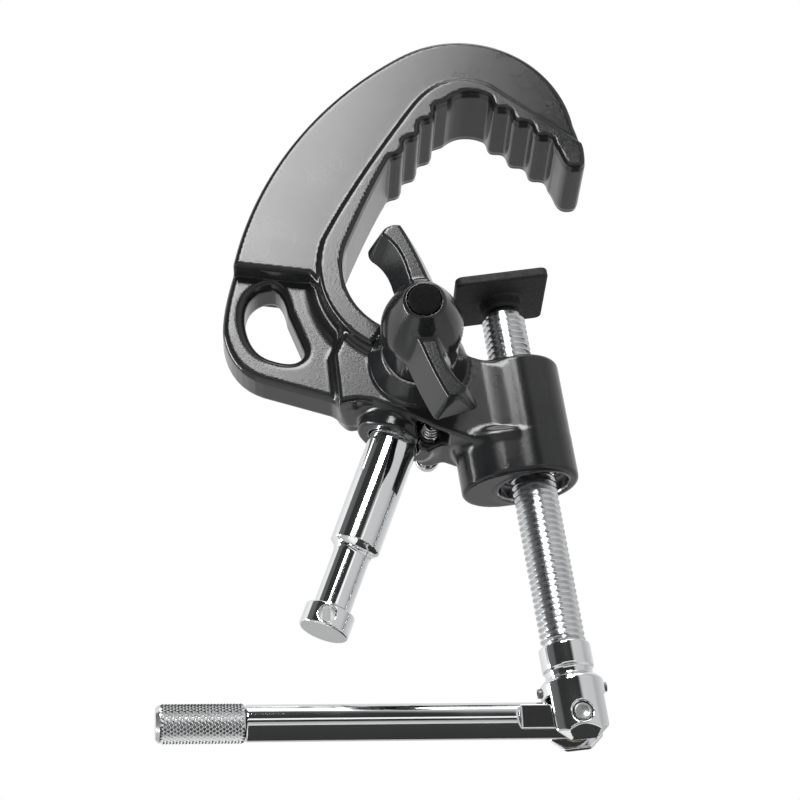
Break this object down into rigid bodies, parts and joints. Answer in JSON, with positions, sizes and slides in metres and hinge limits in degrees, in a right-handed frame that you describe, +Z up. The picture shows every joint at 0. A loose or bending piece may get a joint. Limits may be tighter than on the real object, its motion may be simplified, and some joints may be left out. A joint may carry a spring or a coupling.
{
  "type": "super clamp",
  "caption": "Cast C-shaped lighting clamp with toothed jaw, clamping screw with swivel pad and folding handle, safety eye, and a chrome spigot locked by a wing knob.",
  "frame": {"origin": "middle of the pressure pad's gripping face, on the clamping screw's axis, at the opening shown", "axes": "+Z up the clamping screw towards the jaw, +X towards the jaw's tip, -Y towards the wing knob"},
  "size_m": [0.1625, 0.0802, 0.2427],
  "materials": {
    "black_paint": "cast, with pebbled black paint",
    "black_pad": "satin",
    "black_plastic": "satin",
    "matte_cap": "matte",
    "chrome": "polished",
    "knurled_chrome": "knurled",
    "zinc_steel": "bright zinc",
    "dark_steel": "oiled",
    "brass": "machined"
  },
  "bodies": {
    "frame": {"body_casting": "black_paint", "screw_nut": "dark_steel", "nut_circlip": "dark_steel", "thread_insert": "brass", "safety_pin_spring": "zinc_steel"},
    "carriage": {"pad_snap_ring": "dark_steel"},
    "pad": {"pressure_pad": "black_pad"},
    "screw": {"main_screw": "zinc_steel", "fork": "chrome", "fork_roll_pin": "dark_steel", "handle_pivot_pin": "zinc_steel"},
    "handle": {"handle_rod": "chrome", "handle_grip": "knurled_chrome", "handle_washer_front": "brass", "handle_washer_rear": "brass"},
    "bolt_carriage": {"bolt_tip": "brass", "knob_washer": "zinc_steel"},
    "knob": {"wing_knob": "black_plastic", "knob_cap": "matte_cap", "knob_bolt": "zinc_steel"},
    "spigot": {"spigot": "chrome"},
    "safety": {"safety_pin": "chrome", "safety_pin_clip": "dark_steel"}
  },
  "joints": [
    {"name": "screw_feed", "type": "slide", "parent": "frame", "child": "carriage", "axis": [0, 0, 1], "range_m": [-0.0181, 0.0211]},
    {"name": "screw_turn", "type": "hinge", "parent": "carriage", "child": "screw", "pos_m": [0, 0, 0], "axis": [0, 0, 1], "range_deg": [-3240, 3780]},
    {"name": "pad_swivel", "type": "hinge", "parent": "carriage", "child": "pad", "pos_m": [0, 0, 0], "axis": [0, 0, 1], "continuous": true},
    {"name": "handle_fold", "type": "hinge", "parent": "screw", "child": "handle", "pos_m": [0, 0, -0.1468], "axis": [0.0872, -0.9962, 0], "range_deg": [0, 192]},
    {"name": "knob_feed", "type": "slide", "parent": "frame", "child": "bolt_carriage", "axis": [0, -1, 0], "range_m": [0, 0.00601]},
    {"name": "knob_turn", "type": "hinge", "parent": "bolt_carriage", "child": "knob", "pos_m": [-0.031, 0, -0.027], "axis": [0, -1, 0], "range_deg": [0, 1440]},
    {"name": "spigot_turn", "type": "hinge", "parent": "frame", "child": "spigot", "pos_m": [-0.031, 0, -0.027], "axis": [-0.4617, 0, -0.887], "continuous": true},
    {"name": "safety_push", "type": "slide", "parent": "frame", "child": "safety", "axis": [0, -1, 0], "range_m": [0, 0.004], "stiffness_N_per_m": 500, "springref_m": -0.004, "deforming": ["safety_pin_spring"]}
  ],
  "couplings": [
    {"joint": "screw_feed", "follows": "screw_turn", "m_per_rad": 0.00031831},
    {"joint": "knob_feed", "follows": "knob_turn", "m_per_rad": 0.00023873}
  ]
}
